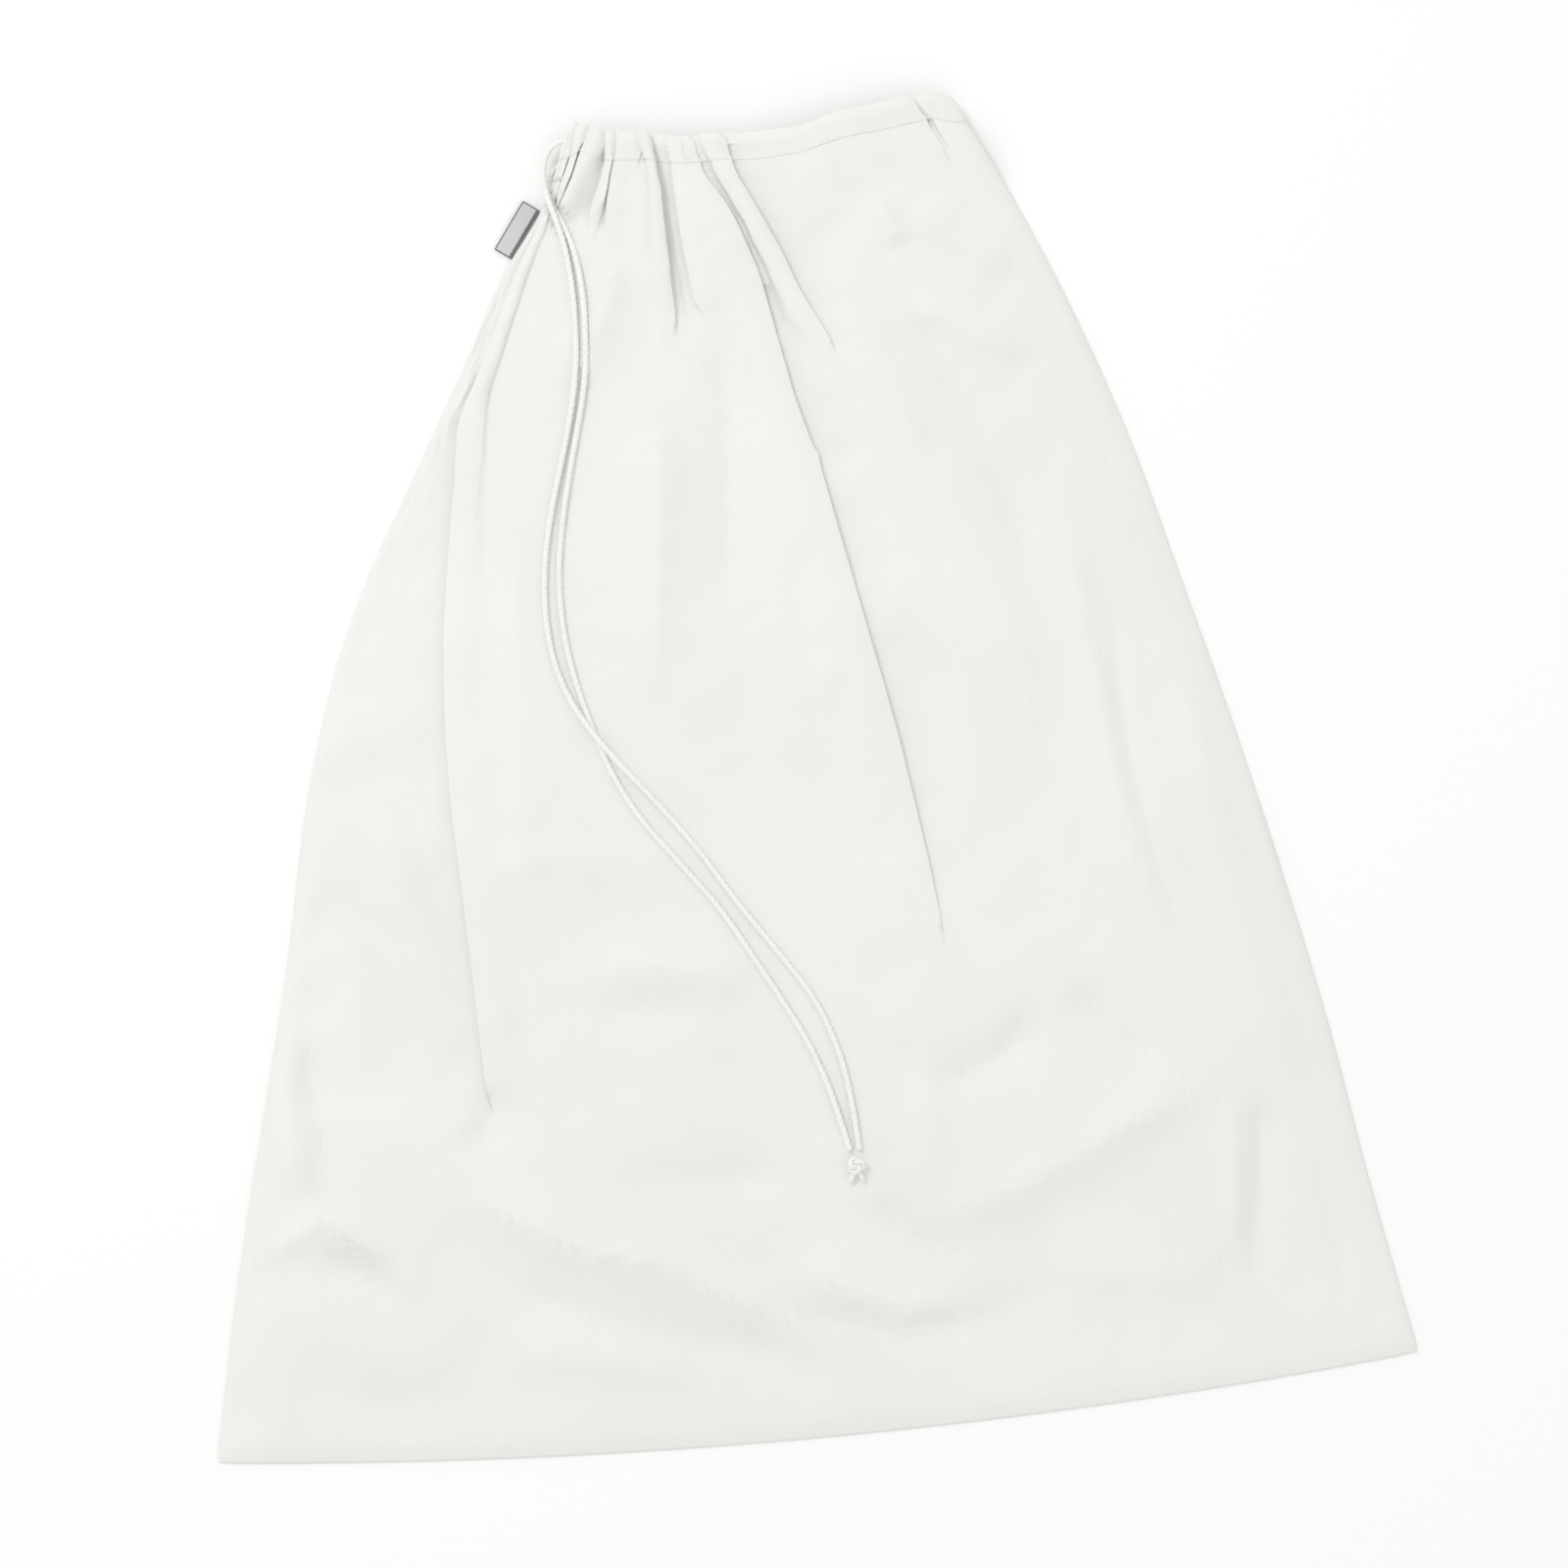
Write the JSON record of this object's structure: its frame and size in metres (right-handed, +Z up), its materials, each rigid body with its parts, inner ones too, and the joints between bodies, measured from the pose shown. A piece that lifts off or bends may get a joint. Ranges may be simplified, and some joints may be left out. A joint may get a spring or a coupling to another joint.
{
  "type": "drawstring produce bag",
  "caption": "Flat-lying white cloth drawstring bag with a gathered mouth casing, side seams, a side tab and a knotted cord.",
  "frame": {"origin": "middle of the bag's outline as it lies flat, on the surface that it lies on", "axes": "+X towards the right side seam, +Y from the closed end to the mouth, +Z up through the front panel"},
  "size_m": [0.56, 0.604, 0.0223],
  "materials": {
    "bag_cloth": "tightly woven plain-weave cotton, soft matt with a faint sheen",
    "sewing_thread": "twisted polyester-cotton sewing thread, matt",
    "woven_label": "flat woven tape, smooth, light grey with a darker edge",
    "cord": "twisted cotton cord, soft matt"
  },
  "bodies": {
    "bag": {"front_panel": "bag_cloth", "back_panel": "bag_cloth", "left_side_seam": "bag_cloth", "bottom_seam": "bag_cloth", "front_casing": "bag_cloth", "back_casing": "bag_cloth", "left_seam_stitching": "sewing_thread", "bottom_seam_stitching": "sewing_thread", "front_casing_stitching": "sewing_thread", "back_casing_stitching": "sewing_thread", "exit_bar_tack": "sewing_thread", "drawstring_loop": "cord"},
    "right_flank": {"right_side_seam": "bag_cloth", "right_seam_stitching": "sewing_thread", "casing_fold": "bag_cloth"},
    "cord_end": {"drawstring_tail_a": "cord", "drawstring_tail_b": "cord", "end_knot": "cord"},
    "label_tab": {"side_label": "woven_label", "label_stitching": "sewing_thread"}
  },
  "joints": [
    {"name": "drawstring_pull", "type": "slide", "parent": "bag", "child": "cord_end", "axis": [0.173, -0.9849, 0], "range_m": [-0.118, 0.083], "deforming": ["drawstring_tail_a", "drawstring_tail_b"]},
    {"name": "mouth_gather", "type": "hinge", "parent": "bag", "child": "right_flank", "pos_m": [0.277, -0.299, 0.0007], "axis": [0, 0, 1], "range_deg": [-11.6, 8.2], "deforming": ["front_panel", "back_panel", "bottom_seam", "bottom_seam_stitching", "front_casing", "back_casing", "front_casing_stitching", "back_casing_stitching", "drawstring_loop"]},
    {"name": "label_flip", "type": "hinge", "parent": "bag", "child": "label_tab", "pos_m": [-0.0857, 0.2607, 0.0007], "axis": [0.587, 0.8096, 0], "range_deg": [0, 90]}
  ],
  "couplings": [
    {"joint": "mouth_gather", "follows": "drawstring_pull", "rad_per_m": 1.686}
  ]
}
